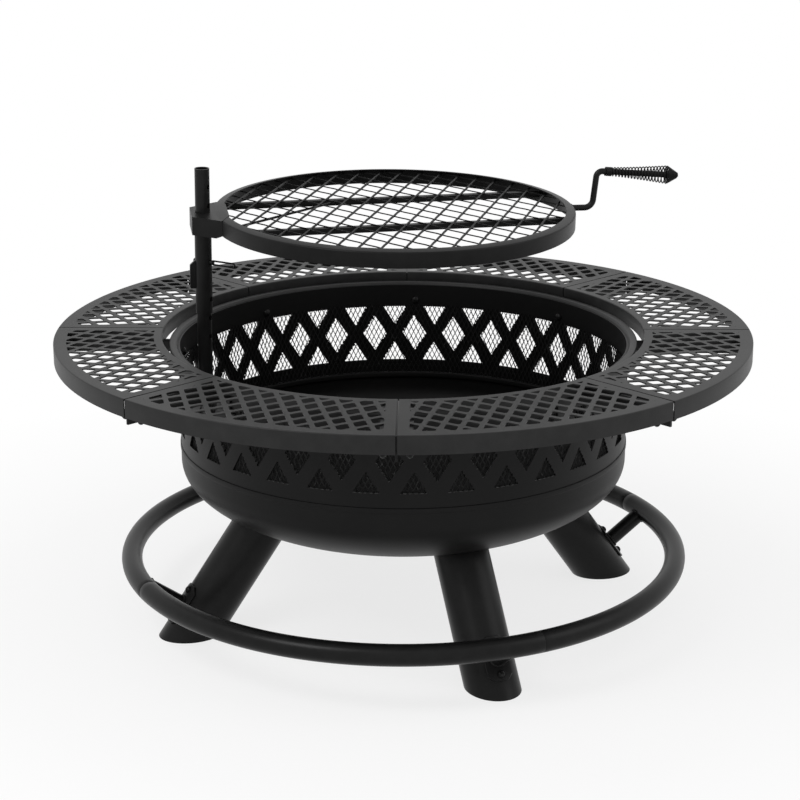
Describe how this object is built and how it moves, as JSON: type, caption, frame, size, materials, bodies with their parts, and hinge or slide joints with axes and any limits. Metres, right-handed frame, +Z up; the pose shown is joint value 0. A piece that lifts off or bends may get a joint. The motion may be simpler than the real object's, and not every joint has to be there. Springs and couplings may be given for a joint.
{
  "type": "fire pit grill",
  "caption": "Round steel fire bowl on splayed legs with a perforated table around it and a swinging cooking grate on a pinned post.",
  "frame": {"origin": "on the floor, under the centre of the round table", "axes": "+Z up; +X to the side of the coil grip, away from the post; -Y towards the picture's camera"},
  "size_m": [1.2, 1.2, 0.8001],
  "materials": {
    "satin_black_coat": "satin black powder coat on steel",
    "heat_black_coat": "matt black heat-proof coat on steel",
    "dark_wire": "dark satin coat on steel wire and expanded steel",
    "black_bolt": "black coated bolt heads"
  },
  "bodies": {
    "pit": {"table_panel_1": "satin_black_coat", "table_panel_2": "satin_black_coat", "table_panel_3": "satin_black_coat", "table_panel_4": "satin_black_coat", "table_panel_5": "satin_black_coat", "table_panel_6": "satin_black_coat", "table_panel_7": "satin_black_coat", "table_panel_8": "satin_black_coat", "table_arm_1": "satin_black_coat", "table_arm_2": "satin_black_coat", "table_arm_3": "satin_black_coat", "table_arm_4": "satin_black_coat", "table_arm_5": "satin_black_coat", "table_arm_6": "satin_black_coat", "table_arm_7": "satin_black_coat", "table_arm_8": "satin_black_coat", "arm_bolt_1": "black_bolt", "arm_bolt_2": "black_bolt", "arm_bolt_3": "black_bolt", "arm_bolt_4": "black_bolt", "arm_bolt_5": "black_bolt", "arm_bolt_6": "black_bolt", "arm_bolt_7": "black_bolt", "arm_bolt_8": "black_bolt", "bowl_band": "heat_black_coat", "bowl_dish": "heat_black_coat", "spark_screen": "heat_black_coat", "rim_hoop": "satin_black_coat", "leg_1": "satin_black_coat", "leg_2": "satin_black_coat", "leg_3": "satin_black_coat", "leg_4": "satin_black_coat", "ring_segment_1": "satin_black_coat", "ring_segment_2": "satin_black_coat", "ring_segment_3": "satin_black_coat", "ring_segment_4": "satin_black_coat", "leg_bolt_low_1": "black_bolt", "leg_bolt_low_2": "black_bolt", "leg_bolt_low_3": "black_bolt", "leg_bolt_low_4": "black_bolt", "leg_bolt_high_1": "black_bolt", "leg_bolt_high_2": "black_bolt", "leg_bolt_high_3": "black_bolt", "leg_bolt_high_4": "black_bolt", "post_socket": "heat_black_coat"},
    "post": {"post": "satin_black_coat"},
    "grate": {"grate_sleeve": "satin_black_coat", "grate_bracket": "satin_black_coat", "grate_frame": "satin_black_coat", "grate_mesh": "dark_wire", "cross_bar_1": "satin_black_coat", "cross_bar_2": "satin_black_coat", "brace_rod": "satin_black_coat", "handle_rod": "satin_black_coat", "coil_grip": "dark_wire"},
    "lock_pin": {"lock_pin": "dark_wire"}
  },
  "joints": [
    {"name": "grate_swivel", "type": "hinge", "parent": "pit", "child": "post", "pos_m": [-0.336, -0.0566, 0.7248], "axis": [0.0145, -0.0245, 0.9996], "continuous": true},
    {"name": "grate_height", "type": "slide", "parent": "post", "child": "grate", "axis": [0.0145, -0.0245, 0.9996], "range_m": [-0.0975, 0.0975]},
    {"name": "pin_pull", "type": "slide", "parent": "grate", "child": "lock_pin", "axis": [0.9053, -0.4241, -0.0236], "range_m": [0, 0.034]}
  ]
}
